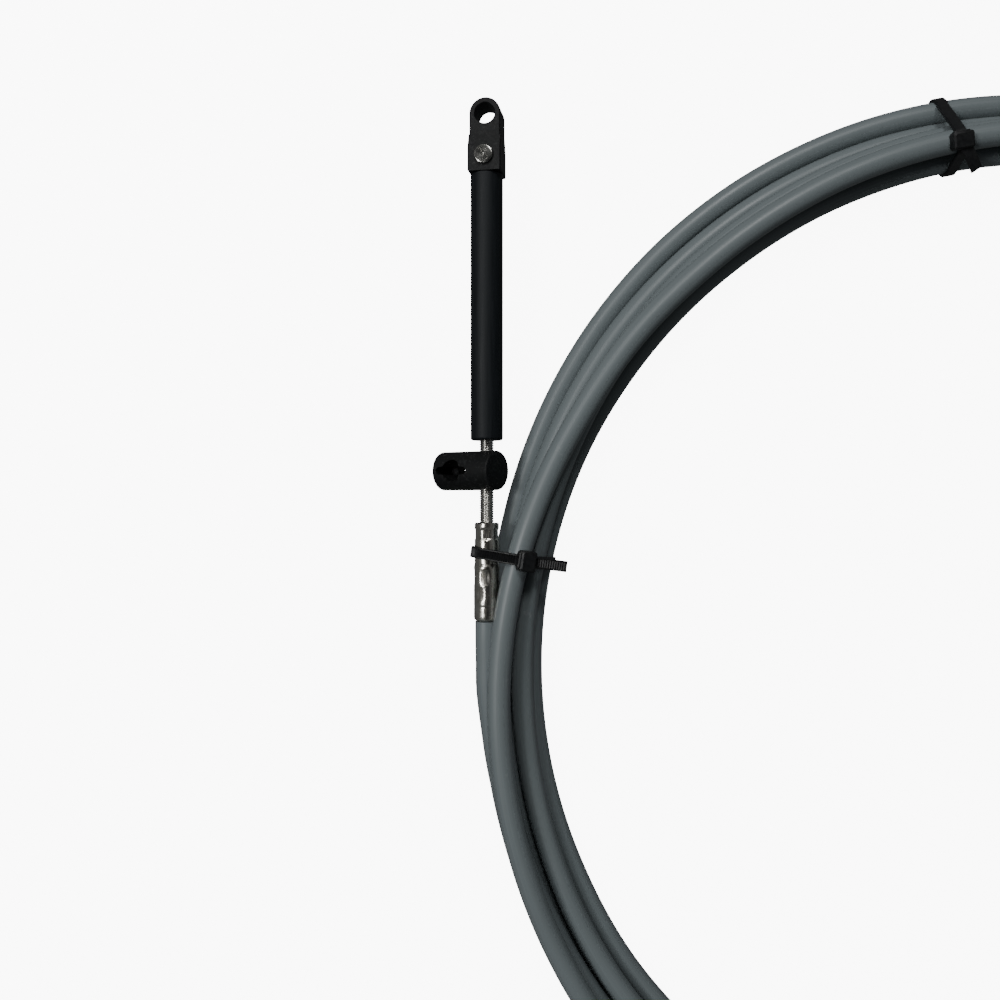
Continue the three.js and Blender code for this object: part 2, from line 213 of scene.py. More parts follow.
def lane_at(spots):
    """Radius and height of the cable at the angles, counted on from turn to turn."""
    angles, radii, heights = KEYS.T
    return smooth_through(angles, radii, spots), smooth_through(angles, heights, spots)


def cable_points():
    """The cable's centreline in the layout, from the engine hub round all its turns to the helm hub."""
    spots = np.arange(KEYS[0, 0], KEYS[-1, 0] + COIL_STEP / 2, COIL_STEP)
    radius, height = lane_at(spots)
    turns = [(*on_coil(a, r), h) for a, r, h in zip(spots, radius, height)]
    engine = [
        (0, -GAP, FITTING_Z), (0, -6, FITTING_Z - 0.1),
        (0.1, -14, FITTING_Z - 0.6), (0.3, -24, FITTING_Z - 1.2),
    ]
    helm = [
        (HELM_X - 0.1, HELM_Y - 12, FITTING_Z), (HELM_X, HELM_Y - 5, FITTING_Z),
        (HELM_X, HELM_Y - GAP, FITTING_Z),
    ]
    coarse = np.array(engine + turns + helm)
    padded = np.vstack((2 * coarse[0] - coarse[1], coarse, 2 * coarse[-1] - coarse[-2]))
    fine = []
    for a, b, c, d in zip(padded, padded[1:], padded[2:], padded[3:]):
        for t in np.arange(FINE_STEPS) / FINE_STEPS:
            fine.append((2 * b + (c - a) * t + (2 * a - 5 * b + 4 * c - d) * t * t
                         + (3 * b - a - 3 * c + d) * t ** 3) / 2)
    return np.array(fine + [coarse[-1]])


# Mesh makers


def mesh_of(name, vertices, faces, place=LAYOUT, sharp=38):
    """An object from points in millimetres, shaded smooth but for its sharp edges."""
    data = bpy.data.meshes.new(name)
    data.from_pydata([tuple(v) for v in vertices], [], faces)
    data.transform(place)
    data.shade_smooth()
    data.set_sharp_from_angle(angle=math.radians(sharp))
    return link(name, data)


def ring_faces(rings, sides, closed=False, caps=True):
    """Faces between rings of points, joined end to end or capped."""
    faces = []
    for i in range(rings if closed else rings - 1):
        j = (i + 1) % rings
        for k in range(sides):
            m = (k + 1) % sides
            faces.append((i * sides + k, i * sides + m, j * sides + m, j * sides + k))
    if caps and not closed:
        faces.append(tuple(range(sides - 1, -1, -1)))
        faces.append(tuple((rings - 1) * sides + k for k in range(sides)))
    return faces


def turned(name, profile, sides, place, shape=None, closed=False):
    """A piece turned about +Y from radius and height pairs, which a shape function can dent."""
    vertices = []
    for radius, height in profile:
        for k in range(sides):
            a = 2 * math.pi * k / sides
            r = shape(radius, height, a) if shape else radius
            vertices.append((r * math.sin(a), height, r * math.cos(a)))
    return mesh_of(name, vertices, ring_faces(len(profile), sides, closed), place)


def rounded(profile, corner, steps=3):
    """The profile with its inner corners rounded off by up to a size."""
    points = [profile[0]]
    for before, here, after in zip(profile, profile[1:], profile[2:]):
        p, q, s = (np.array(v, dtype=float) for v in (before, here, after))
        size = min(corner, 0.4 * np.linalg.norm(q - p), 0.4 * np.linalg.norm(s - q))
        start = q + (p - q) / np.linalg.norm(p - q) * size
        end = q + (s - q) / np.linalg.norm(s - q) * size
        for t in np.linspace(0, 1, steps + 1):
            points.append(tuple((1 - t) ** 2 * start + 2 * t * (1 - t) * q + t * t * end))
    points.append(profile[-1])
    return points


def inset(outline, size):
    """A closed anticlockwise outline moved inwards by a size."""
    points = np.array(outline, dtype=float)
    back = points - np.roll(points, 1, axis=0)
    ahead = np.roll(points, -1, axis=0) - points
    back /= np.linalg.norm(back, axis=1)[:, None]
    ahead /= np.linalg.norm(ahead, axis=1)[:, None]
    normal = np.stack((-(back + ahead)[:, 1], (back + ahead)[:, 0]), axis=1)
    scale = 1 / (1 + np.sum(back * ahead, axis=1))
    return points + normal * scale[:, None] * size


def prism(name, outline, depth, chamfer=0.0):
    """A closed outline in X and Y, drawn out by a depth about Z = 0, its rims cut by a chamfer."""
    sides = len(outline)
    half = depth / 2
    levels = [(-half, outline), (half, outline)]
    if chamfer:
        small = inset(outline, chamfer)
        levels = [(-half, small), (chamfer - half, outline), (half - chamfer, outline), (half, small)]
    vertices = [(x, y, z) for z, points in levels for x, y in points]
    return mesh_of(name, vertices, ring_faces(len(levels), sides), Matrix.Scale(MM, 4))


def finished(thing, place, cutters=(), additions=(), bevel=0):
    """The piece with its cuts and rounded edges made final, in its place."""
    for kind, others in (("UNION", additions), ("DIFFERENCE", cutters)):
        for other in others:
            step = thing.modifiers.new("join", "BOOLEAN")
            step.operation = kind
            step.object = other
            step.solver = "EXACT"
    if bevel:
        step = thing.modifiers.new("edges", "BEVEL")
        step.width = bevel * MM
        step.segments = 3
        step.limit_method = "ANGLE"
        step.angle_limit = math.radians(42)
        thing.modifiers.new("flat faces", "WEIGHTED_NORMAL")
    graph = bpy.context.evaluated_depsgraph_get()
    data = bpy.data.meshes.new_from_object(thing.evaluated_get(graph))
    thing.modifiers.clear()
    thing.data = data
    for other in (*cutters, *additions):
        bpy.data.objects.remove(other)
    data.transform(place)
    if not bevel:
        data.shade_smooth()
        data.set_sharp_from_angle(angle=math.radians(30))
    return thing


def along_y(name, profile, sides=48):
    """A turned cutter in its own frame, about Y."""
    return turned(name, profile, sides, Matrix.Scale(MM, 4))


def along_z(name, profile, sides=48):
    """A turned cutter in its own frame, about Z."""
    return turned(name, profile, sides, Matrix.Scale(MM, 4) @ Matrix.Rotation(math.pi / 2, 4, "X"))


def placed(x, y, z, turn=0):
    """A place in the frame for a piece made in metres about the origin, turned about Y by degrees."""
    return Matrix.Translation(at(x, y, z)) @ Matrix.Rotation(math.radians(turn), 4, "Y")


# The cable


def make_cable():
    """The jacketed cable as one round tube along its centreline, with its length as a texture coordinate."""
    line = cable_points()
    tangent = np.gradient(line, axis=0)
    tangent /= np.linalg.norm(tangent, axis=1)[:, None]
    up = np.array((0, 0, 1)) - tangent[:, 2:] * tangent
    up /= np.linalg.norm(up, axis=1)[:, None]
    side = np.cross(tangent, up)
    around = 2 * np.pi * np.arange(TUBE_SIDES) / TUBE_SIDES
    reach = JACKET / 2
    rings = (line[:, None] + reach * (np.cos(around)[None, :, None] * up[:, None]
                                      + np.sin(around)[None, :, None] * side[:, None]))
    cable = mesh_of("cable", rings.reshape(-1, 3), ring_faces(len(line), TUBE_SIDES))
    steps = np.linalg.norm(np.diff(line, axis=0), axis=1)
    length = np.concatenate(([0], np.cumsum(steps))) * MM
    layer = cable.data.uv_layers.new(name="along")
    corners = np.zeros(len(cable.data.loops), dtype=int)
    cable.data.loops.foreach_get("vertex_index", corners)
    spots = np.stack((corners % TUBE_SIDES / TUBE_SIDES, length[corners // TUBE_SIDES]), axis=1)
    layer.data.foreach_set("uv", spots.ravel())
    return cable, [tuple(at(*p)) for p in line], float(length[-1])


# Engine end


# Crimps on the hub: height, half height, depth, dents round the hub and their turn
CRIMPS = [
    (14.6, 2.6, 0.32, 4, 0.5),
    (9.0, 2.2, 0.26, 4, 2.3),
    (20.6, 2.4, 0.1, 3, 1.0),
    (4.7, 0.6, 0.1, 1, 0.3),
]
GROOVE_LOW = HUB_LENGTH - 5.6
GROOVE_HIGH = HUB_LENGTH - 2
GROOVE_EASE = 0.3
GROOVE_DEPTH = 0.25
GROOVE_FLAT = 0.5
HUB_WALL = 1.5
HUB_STEP = 0.35


def smooth_step(low, high, value):
    """Rises smoothly from 0 at low to 1 at high."""
    t = min(1, max(0, (value - low) / (high - low)))
    return t * t * (3 - 2 * t)


def hub_dents(radius, height, angle):
    """The crimped hub's radius: six flats in the groove and rings of dents lower down."""
    if radius < HUB_DIAMETER / 2 - HUB_WALL:
        return radius
    flat = 1 / math.cos((angle + math.pi / 6) % (math.pi / 3) - math.pi / 6)
    in_groove = smooth_step(GROOVE_LOW - GROOVE_EASE, GROOVE_LOW + GROOVE_EASE, height)
    in_groove *= smooth_step(GROOVE_HIGH + GROOVE_EASE, GROOVE_HIGH - GROOVE_EASE, height)
    flattened = min(radius, (HUB_DIAMETER / 2 - GROOVE_FLAT) * flat)
    radius = radius * (1 - in_groove) + flattened * in_groove
    for middle, half, depth, lobes, phase in CRIMPS:
        share = max(0, 1 - ((height - middle) / half) ** 2)
        lobe = max(0, math.cos(lobes * angle + phase)) ** 0.7
        radius -= depth * math.sqrt(share) * lobe
    return radius


def make_hub(name, bore, place):
    """A crimped hub with its foot at Y = 0."""
    radius = HUB_DIAMETER / 2
    foot = HUB_FOOT_DIAMETER / 2
    corners = [
        (0.01, 0), (foot - 0.7, 0), (foot - 0.1, 0.5), (foot, 1.2), (foot, HUB_FOOT_LENGTH),
        (radius, HUB_FOOT_LENGTH + 1.2), (radius, GROOVE_LOW),
        (radius - GROOVE_DEPTH, GROOVE_LOW + GROOVE_EASE), (radius - GROOVE_DEPTH, GROOVE_HIGH - GROOVE_EASE),
        (radius, GROOVE_HIGH), (radius, HUB_LENGTH - 0.35),
        (radius - 0.35, HUB_LENGTH), (bore / 2, HUB_LENGTH), (bore / 2, HUB_FLOOR), (0.01, HUB_FLOOR),
    ]
    profile = [corners[0]]
    for a, b in zip(corners, corners[1:]):
        pieces = max(1, math.ceil(abs(b[1] - a[1]) / HUB_STEP)) if a[0] > bore / 2 + 0.5 else 1
        for k in range(1, pieces + 1):
            profile.append((a[0] + (b[0] - a[0]) * k / pieces, a[1] + (b[1] - a[1]) * k / pieces))
    return turned(name, profile, 72, place, hub_dents)


def make_guide():
    """The guide tube: a real thread up to the sleeve's foot, plain above it."""
    radius = GUIDE_DIAMETER / 2
    rows = np.arange(HUB_FLOOR + GAP, SLEEVE_FOOT + 1.5, THREAD_PITCH / 6)
    profile = [(radius, y) for y in rows]
    profile += [(radius, GUIDE_TOP - 0.4), (radius - 0.4, GUIDE_TOP), (GUIDE_BORE / 2, GUIDE_TOP)]
    profile += [(GUIDE_BORE / 2, HUB_FLOOR + GAP), (radius, HUB_FLOOR + GAP)]
    top = SLEEVE_FOOT + 1.4

    def threaded(r, y, a):
        if r < radius or y > top:
            return r
        phase = (y / THREAD_PITCH - a / (2 * math.pi)) % 1
        return r - THREAD_DEPTH * (1 - abs(2 * phase - 1)) ** 2

    place = LAYOUT @ Matrix.Translation((0, 0, FITTING_Z))
    return turned("guide_tube_visual", profile[:-1], 32, place, threaded, True)


def make_sleeve():
    """The sleeve that slides over the guide tube, with its rounded foot and its neck."""
    bore = GUIDE_DIAMETER / 2 + GAP
    radius = SLEEVE_DIAMETER / 2
    corners = [
        (bore, SLEEVE_FOOT + 0.3), (bore + 0.3, SLEEVE_FOOT), (radius, SLEEVE_FOOT), (radius, SLEEVE_SHOULDER),
        (NECK_DIAMETER / 2, SLEEVE_SHOULDER), (NECK_DIAMETER / 2, SLEEVE_SHOULDER + NECK_LENGTH),
        (bore, SLEEVE_SHOULDER + NECK_LENGTH),
    ]
    profile = rounded(corners[:4], 1.5, 6) + corners[4:]
    return turned("sleeve", profile, 64, LAYOUT @ Matrix.Translation((0, 0, FITTING_Z)), None, True)


def make_eye():
    """The moulded eye: round-topped tongue on a wider foot, cut for the pin, rivet, lug and neck."""
    half = EYE_WIDTH / 2
    tongue = [(half, EYE_FOOT + 5), (half, EYE_HOLE_Y)]
    for a in np.linspace(0, math.pi, 41)[1:-1]:
        tongue.append((half * math.cos(a), EYE_HOLE_Y + half * math.sin(a)))
    tongue += [(-half, EYE_HOLE_Y), (-half, EYE_FOOT + 5)]
    top = EYE_FOOT + BLOCK_HEIGHT
    face = BLOCK_THICKNESS / 2
    inner = EYE_THICKNESS / 2 - 0.5
    side = [
        (face, EYE_FOOT), (face, top - 2.4), (inner, top + 2.6),
        (-inner, top + 2.6), (-face, top - 2.4), (-face, EYE_FOOT),
    ]
    eye = prism("eye", tongue, EYE_THICKNESS + TONGUE_BACK, 0.4)
    eye.data.transform(Matrix.Translation((0, 0, -TONGUE_BACK / 2 * MM)))
    foot = prism("foot", side, BLOCK_WIDTH, 0.35)
    foot.data.transform(Matrix.Rotation(math.pi / 2, 4, "Y"))
    reach = BLOCK_THICKNESS
    flare = EYE_THICKNESS / 2
    rear = flare + TONGUE_BACK
    hole = along_z("hole", [
        (0.01, -reach), (EYE_HOLE / 2 + 2, -reach), (EYE_HOLE / 2 + 0.1, -rear), (EYE_HOLE / 2, 0.1 - rear),
        (EYE_HOLE / 2, flare - 0.22), (EYE_HOLE / 2 + 0.22, flare), (EYE_HOLE / 2 + 2, reach), (0.01, reach),
    ])
    hole.data.transform(Matrix.Translation((0, EYE_HOLE_Y * MM, 0)))
    shank = RIVET_SHANK / 2 + GAP
    pin = along_z("pin", [(0.01, -reach), (shank, -reach), (shank, reach), (0.01, reach)])
    pin.data.transform(Matrix.Translation((0, RIVET_Y * MM, 0)))
    neck = NECK_DIAMETER / 2 + GAP
    lug = LUG_DIAMETER / 2 + GAP
    socket = along_y("socket", [
        (0.01, EYE_FOOT - 1), (neck, EYE_FOOT - 1), (neck, EYE_FOOT + NECK_LENGTH + 0.15),
        (lug, EYE_FOOT + NECK_LENGTH + 0.15), (lug, LUG_TOP + GAP), (0.01, LUG_TOP + GAP),
    ])
    place = placed(0, 0, FITTING_Z, EYE_TURN)
    return finished(eye, place, [hole, pin, socket], [foot])


def make_rivet():
    """The rivet across the eye, with turning marks on its domed head."""
    face = BLOCK_THICKNESS / 2 + GAP
    head = RIVET_HEAD / 2
    profile = [(0.01, -face - 0.8), (2.2, -face - 0.8), (2.5, -face - 0.5), (2.5, -face), (1.5, -face), (1.5, face)]
    profile += [(head, face), (head, face + 0.55), (head - 0.12, face + 0.75), (head - 0.4, face + 0.84)]
    for k in range(RIVET_RINGS):
        radius = (head - 0.5) * (1 - k / RIVET_RINGS)
        dome = 0.05 * (1 - (radius / head) ** 2)
        ring = 0.06 if k % 2 else 0
        profile.append((max(radius, 0.01), face + 0.86 + dome + ring))
    place = placed(0, RIVET_Y, FITTING_Z, EYE_TURN) @ Matrix.Scale(MM, 4) @ Matrix.Rotation(math.pi / 2, 4, "X")
    return turned("rivet", profile, 48, place)


def key_outline():
    """The keyed hole: a circle with an ear to each side, its corners eased."""
    radius = KEY_HOLE / 2
    ear = KEY_HEIGHT / 2
    reach = KEY_LENGTH / 2
    meet = math.asin(ear / radius)
    root = radius * math.cos(meet) + 0.1
    edge = [
        (root, -ear), (reach - 0.9, 0.2 - ear), (reach - 0.2, -0.55), (reach, 0),
        (reach - 0.2, 0.55), (reach - 0.9, ear - 0.2), (root, ear),
    ]
    points = []
    for side in (0, math.pi):
        for x, y in edge:
            points.append((x * math.cos(side) - y * math.sin(side), x * math.sin(side) + y * math.cos(side)))
        for a in np.linspace(meet + 0.12, math.pi - meet - 0.12, 21):
            points.append((radius * math.cos(a + side), radius * math.sin(a + side)))
    return points


def make_barrel():
    """The anchor barrel: threaded across near one end, with the keyed hole near the other."""
    radius = BARREL_DIAMETER / 2
    low = BARREL_SHORT_SIDE - BARREL_LENGTH
    high = BARREL_SHORT_SIDE
    profile = [(0.01, low), (radius, low), (radius, high), (0.01, high)]
    profile = rounded(profile, 0.7, 5)
    body = turned("barrel", profile, 72, Matrix.Scale(MM, 4) @ Matrix.Rotation(-math.pi / 2, 4, "Z"))
    across = along_y("across", [(0.01, -9), (2.45, -9), (2.45, 9), (0.01, 9)])
    key = prism("key", key_outline(), 15)
    key.data.transform(Matrix.Translation((-KEY_OFFSET * MM, 0, 5 * MM)))
    pin = along_z("pin", [(0.01, -9), (KEY_HOLE / 2, -9), (KEY_HOLE / 2, 0), (0.01, 0)], 64)
    pin.data.transform(Matrix.Translation((-KEY_OFFSET * MM, 0, 0)))
    return finished(body, placed(0, BARREL_Y, FITTING_Z, -BARREL_TILT), [across, key, pin], (), 0.16)


# Ties


TOOTH = 0.42
HEAD_LENGTH = 5.4
HEAD_WIDTH = 6.8
HEAD_HEIGHT = 3.6
HEAD_CORNER = 0.5
TAIL_LENGTH = 14.2


def hull(points):
    """The convex outline of points, anticlockwise."""
    cloud = sorted({(round(x, 6), round(y, 6)) for x, y in points})

    def half(row):
        chain = []
        for p in row:
            while len(chain) > 1:
                (ax, ay), (bx, by) = chain[-2:]
                if (bx - ax) * (p[1] - ay) - (by - ay) * (p[0] - ax) > 1e-9:
                    break
                chain.pop()
            chain.append(p)
        return chain[:-1]

    return np.array(half(cloud) + half(cloud[::-1]))


def resampled(outline, step):
    """The closed outline at even steps, with its outward normals, from its rightmost lowest corner."""
    closed = np.vstack((outline, outline[:1]))
    lengths = np.concatenate(([0], np.cumsum(np.linalg.norm(np.diff(closed, axis=0), axis=1))))
    count = 2 * round(lengths[-1] / step / 2)
    spots = np.linspace(0, lengths[-1], count, endpoint=False)
    points = np.stack([np.interp(spots, lengths, closed[:, i]) for i in (0, 1)], axis=1)
    ahead = np.roll(points, -1, axis=0) - np.roll(points, 1, axis=0)
    normal = np.stack((ahead[:, 1], -ahead[:, 0]), axis=1)
    return points, normal / np.linalg.norm(normal, axis=1)[:, None]


def strap_rings(points, normals, sideways, thickness):
    """Rings of a strap's section: points, normals and sideways shifts, in across, up and sideways."""
    half = STRAP_WIDTH / 2
    full = STRAP_THICKNESS
    rings = []
    for (x, y), (nx, ny), shift, thick in zip(points, normals, sideways, thickness):
        section = [(0, half), (full - 0.2, half), (full, half - 0.2), (full, half - 0.5), (thick, half - 0.6)]
        for out, side in [(o, -w) for o, w in section] + section[::-1]:
            rings.append((x + nx * out, y + ny * out, shift + side))
    return rings


def crossings(angle):
    """Where the turns cross an angle: distance out from the innermost turn and height."""
    spots = angle + 360 * np.arange(8)
    spots = spots[(spots > KEYS[0, 0]) & (spots < KEYS[-1, 0])]
    radius, height = lane_at(spots)
    return [(r - INNER_TURN, h, JACKET / 2) for r, h in zip(radius, height)]


def make_tie(name, origin, outwards, circles, head_at, lean, tail_turn, tail_lift, ridged,
             tail_length=TAIL_LENGTH):
    """A cable tie round the circles in a plane: loop, head and tail. Its head can lean along the coil."""
    cloud = []
    for x, y, radius in circles:
        for a in np.arange(48) * math.pi / 24:
            cloud.append((x + (radius + 0.06) * math.cos(a), y + (radius + 0.06) * math.sin(a)))
    points, normals = resampled(hull(cloud), TOOTH)
    valley = STRAP_THICKNESS - (RIDGE_DEPTH if ridged else 0)
    tooth = np.where(np.arange(len(points)) % 2, STRAP_THICKNESS, valley)
    upper = points[:, 1] > np.mean([c[1] for c in circles])
    reach = np.where(points[:, 0] > head_at, points[:, 0].max() - head_at, head_at - points[:, 0].min())
    share = 1 - np.abs(points[:, 0] - head_at) / reach
    sideways = np.where(upper, lean * np.clip(share, 0, 1), 0)
    rings = strap_rings(points, normals, sideways, tooth)
    loop = (rings, ring_faces(len(points), 10, closed=True))

    on_top = [i for i in range(len(points)) if normals[i, 1] > 0.3]
    nearest = min(on_top, key=lambda i: abs(points[i, 0] - head_at))
    base = points[nearest]
    slope = math.atan2(normals[nearest, 0], normals[nearest, 1]) * 0.6
    lift = Matrix.Translation((base[0], base[1], lean)) @ Matrix.Rotation(-slope, 4, "Z")
    long = HEAD_LENGTH / 2
    wide = HEAD_WIDTH / 2
    head = box_points((-long, long), (-0.2, HEAD_HEIGHT), (-wide, wide), HEAD_CORNER)
    rim = box_points((long - 1.3, long + 0.5), (0.3, HEAD_HEIGHT - 1.1), (0.6 - wide, wide - 0.6), 0.35)

    count = round(tail_length / TOOTH)
    run = np.linspace(0, tail_length, count)
    rise = HEAD_HEIGHT * 0.42 + np.tan(math.radians(tail_lift)) * run * run / tail_length
    line = np.stack((-run, rise), axis=1)
    up = np.tile((0.0, 1.0), (count, 1))
    ribs = np.where(np.arange(count) % 2, STRAP_THICKNESS, valley)
    tail = strap_rings(line, up, np.zeros(count), ribs)
    swing = lift @ Matrix.Rotation(math.radians(tail_turn), 4, "Y")

    parts = [loop]
    for (corners, faces_of), turn in ((head, lift), (rim, lift), ((tail, ring_faces(count, 10)), swing)):
        parts.append(([tuple(turn @ Vector(v)) for v in corners], faces_of))
    vertices = []
    faces = []
    for points_of, faces_of in parts:
        faces += [tuple(i + len(vertices) for i in face) for face in faces_of]
        vertices += points_of
    out = Vector((*outwards, 0)).normalized()
    basis = Matrix((out, (0, 0, 1), out.cross(Vector((0, 0, 1))))).transposed().to_4x4()
    place = LAYOUT @ Matrix.Translation((*origin, 0)) @ basis
    return mesh_of(name, vertices, faces, place, 30)


def box_points(xs, ys, zs, corner):
    """A box with its edges along Y and its upper rim cut off by a corner size."""
    rings = []
    c = corner
    for y, inwards in ((ys[0], 0), (ys[1] - c, 0), (ys[1], c)):
        x0, x1 = xs[0] + inwards, xs[1] - inwards
        z0, z1 = zs[0] + inwards, zs[1] - inwards
        rings += [(x0 + c, y, z0), (x0, y, z0 + c), (x0, y, z1 - c), (x0 + c, y, z1),
                  (x1 - c, y, z1), (x1, y, z1 - c), (x1, y, z0 + c), (x1 - c, y, z0)]
    return rings, ring_faces(3, 8)


def tie_frame(angle):
    """A tie's plane square to the turns at an angle: a point under the innermost turn and the way outwards."""
    here = on_coil(angle, INNER_TURN)
    ahead = on_coil(angle + 0.5, INNER_TURN) - on_coil(angle - 0.5, INNER_TURN)
    return here, (ahead[1], -ahead[0])


def hub_circle(origin, outwards, axis_x):
    """A hub's circle in a tie's plane."""
    out = np.array(outwards) / np.hypot(*outwards)
    return ((axis_x - origin[0]) / out[0], FITTING_Z, HUB_FOOT_DIAMETER / 2)


# Helm end


def make_helm_tube():
    """The plain guide tube of the helm end."""
    foot = HELM_Y + HUB_FLOOR + GAP
    top = HELM_Y + HELM_TUBE_TOP
    outer = HELM_TUBE / 2
    bore = HELM_TUBE_BORE / 2
    profile = rounded([(bore, foot), (outer, foot), (outer, top), (bore, top), (bore, top - 5)], 0.4)
    profile[-1] = (bore, foot + 0.5)
    place = LAYOUT @ Matrix.Translation((HELM_X, 0, FITTING_Z))
    return turned("helm_tube_visual", profile, 48, place, None, True)


# Materials


class Shade:
    """A node material with short calls for its nodes and links."""

    def __init__(self, name):
        self.material = bpy.data.materials.new(name)
        self.material.use_nodes = True
        self.nodes = self.material.node_tree.nodes
        self.links = self.material.node_tree.links
        self.shader = self.nodes["Principled BSDF"]

    def node(self, kind, inputs=(), **settings):
        made = self.nodes.new(kind)
        for key, value in settings.items():
            setattr(made, key, value)
        for key, value in dict(inputs).items():
            if isinstance(value, bpy.types.NodeSocket):
                self.links.new(value, made.inputs[key])
            else:
                made.inputs[key].default_value = value
        return made

    def place(self, stretch=(1, 1, 1)):
        """The piece's own coordinates, stretched."""
        spot = self.node("ShaderNodeTexCoord").outputs["Object"]
        return self.node("ShaderNodeMapping", {"Vector": spot, "Scale": stretch}).outputs[0]

    def noise(self, scale, detail=4, rough=0.55, vector=None):
        inputs = {"Scale": scale, "Detail": detail, "Roughness": rough}
        inputs["Vector"] = vector if vector is not None else self.place()
        return self.node("ShaderNodeTexNoise", inputs).outputs[0]

    def spread(self, value, low, high, start=0.3, end=0.7):
        """A value between two others, read from a pattern."""
        inputs = {"Value": value, "From Min": start, "From Max": end, "To Min": low, "To Max": high}
        return self.node("ShaderNodeMapRange", inputs).outputs[0]

    def mix(self, share, first, second):
        """A colour between two colours."""
        made = self.node("ShaderNodeMix", data_type="RGBA")
        for index, value in ((0, share), (6, first), (7, second)):
            if isinstance(value, bpy.types.NodeSocket):
                self.links.new(value, made.inputs[index])
            else:
                made.inputs[index].default_value = (*value, 1) if isinstance(value, tuple) else value
        return made.outputs[2]

    def maths(self, kind, first, second=0.0):
        return self.node("ShaderNodeMath", {0: first, 1: second}, operation=kind).outputs[0]

    def finish(self, colour, rough, metal=0.0, height=None, bump=0.1, distance=0.0002, **extra):
        """Sets the shader's own sockets and gives the material back."""
        values = {"Base Color": colour, "Roughness": rough, "Metallic": metal, **extra}
        if height is not None:
            inputs = {"Strength": bump, "Distance": distance, "Height": height}
            values["Normal"] = self.node("ShaderNodeBump", inputs).outputs[0]
        for key, value in values.items():
            if isinstance(value, bpy.types.NodeSocket):
                self.links.new(value, self.shader.inputs[key])
            else:
                self.shader.inputs[key].default_value = (*value, 1) if isinstance(value, tuple) else value
        return self.material


JACKET_DARK = (0.152, 0.178, 0.186)
JACKET_LIGHT = (0.184, 0.214, 0.222)


def jacket_material():
    """Satin grey extruded jacket with faint drawing lines, mottling and a few scuffs."""
    s = Shade("jacket")
    spot = s.node("ShaderNodeTexCoord").outputs["UV"]
    lines = s.node("ShaderNodeMapping", {"Vector": spot, "Scale": (60, 6, 1)}).outputs[0]
    streaks = s.noise(1, 3, 0.6, lines)
    patches = s.noise(45, 3)
    grain = s.noise(2600, 2)
    scuffs = s.spread(s.noise(130, 6, 0.7), 0, 1, 0.66, 0.74)
    base = s.mix(s.spread(streaks, 0, 1), JACKET_DARK, JACKET_LIGHT)
    base = s.mix(s.maths("MULTIPLY", scuffs, 0.22), base, (0.42, 0.43, 0.42))
    rough = s.maths("ADD", s.spread(patches, 0.36, 0.46), s.maths("MULTIPLY", scuffs, 0.12))
    height = s.maths("ADD", s.maths("MULTIPLY", streaks, 0.5), s.maths("MULTIPLY", grain, 0.25))
    return s.finish(base, rough, 0.0, height, 0.25, 0.00006)


def nickel_material():
    """Bright nickel plate, slightly warm, with drawn lines and dulled patches."""
    s = Shade("hub")
    brushed = s.noise(1, 3, 0.6, s.place((2200, 180, 2200)))
    patches = s.noise(420, 4)
    colour = s.mix(s.spread(patches, 0, 1), (0.56, 0.53, 0.46), (0.78, 0.76, 0.70))
    return s.finish(colour, s.spread(brushed, 0.14, 0.3), 1.0, brushed, 0.12, 0.00004)


def steel_material():
    """Stainless steel with fine turning lines."""
    s = Shade("steel")
    brushed = s.noise(1, 3, 0.6, s.place((260, 3200, 260)))
    patches = s.noise(90, 3)
    colour = s.mix(s.spread(patches, 0, 1), (0.6, 0.59, 0.56), (0.7, 0.69, 0.66))
    return s.finish(colour, s.spread(brushed, 0.22, 0.3), 1.0, brushed, 0.03, 0.00003)


def rivet_material():
    """Bright rivet with rubbed marks."""
    s = Shade("rivet")
    marks = s.noise(1500, 5, 0.65)
    colour = s.mix(s.spread(marks, 0, 1), (0.32, 0.32, 0.3), (0.62, 0.61, 0.57))
    return s.finish(colour, s.spread(marks, 0.16, 0.3), 1.0, marks, 0.25, 0.00004)


def sleeve_material():
    """Satin black extruded sleeve with a fine grain and lengthwise rubbing."""
    s = Shade("sleeve")
    rubbed = s.noise(1, 4, 0.6, s.place((1500, 60, 1500)))
    grain = s.noise(2200, 3, 0.6)
    colour = s.mix(s.spread(rubbed, 0, 1), (0.004, 0.0055, 0.0075), (0.009, 0.0115, 0.0145))
    height = s.maths("ADD", grain, s.maths("MULTIPLY", rubbed, 0.5))
    sheen = {"Specular IOR Level": 0.28}
    return s.finish(colour, s.spread(rubbed, 0.5, 0.62), 0.0, height, 0.3, 0.00006, **sheen)


def moulded_material():
    """Moulded black plastic with a fine grain and pale rub marks."""
    s = Shade("black_plastic")
    grain = s.noise(1700, 4, 0.6)
    rubs = s.spread(s.noise(900, 6, 0.75), 0, 1, 0.54, 0.68)
    colour = s.mix(s.maths("MULTIPLY", rubs, 0.5), (0.006, 0.0064, 0.007), (0.06, 0.062, 0.063))
    sheen = {"Specular IOR Level": 0.25}
    return s.finish(colour, s.spread(grain, 0.48, 0.66), 0.0, grain, 0.4, 0.00008, **sheen)


def tie_material():
    """Black nylon of the ties, faintly clouded."""
    s = Shade("tie")
    clouds = s.noise(700, 3)
    colour = s.mix(s.spread(clouds, 0, 1), (0.006, 0.0062, 0.007), (0.012, 0.0125, 0.0135))
    sheen = {"Specular IOR Level": 0.35}
    return s.finish(colour, s.spread(clouds, 0.4, 0.55), 0.0, clouds, 0.15, 0.00004, **sheen)


FLOOR_GLOW = 9.0


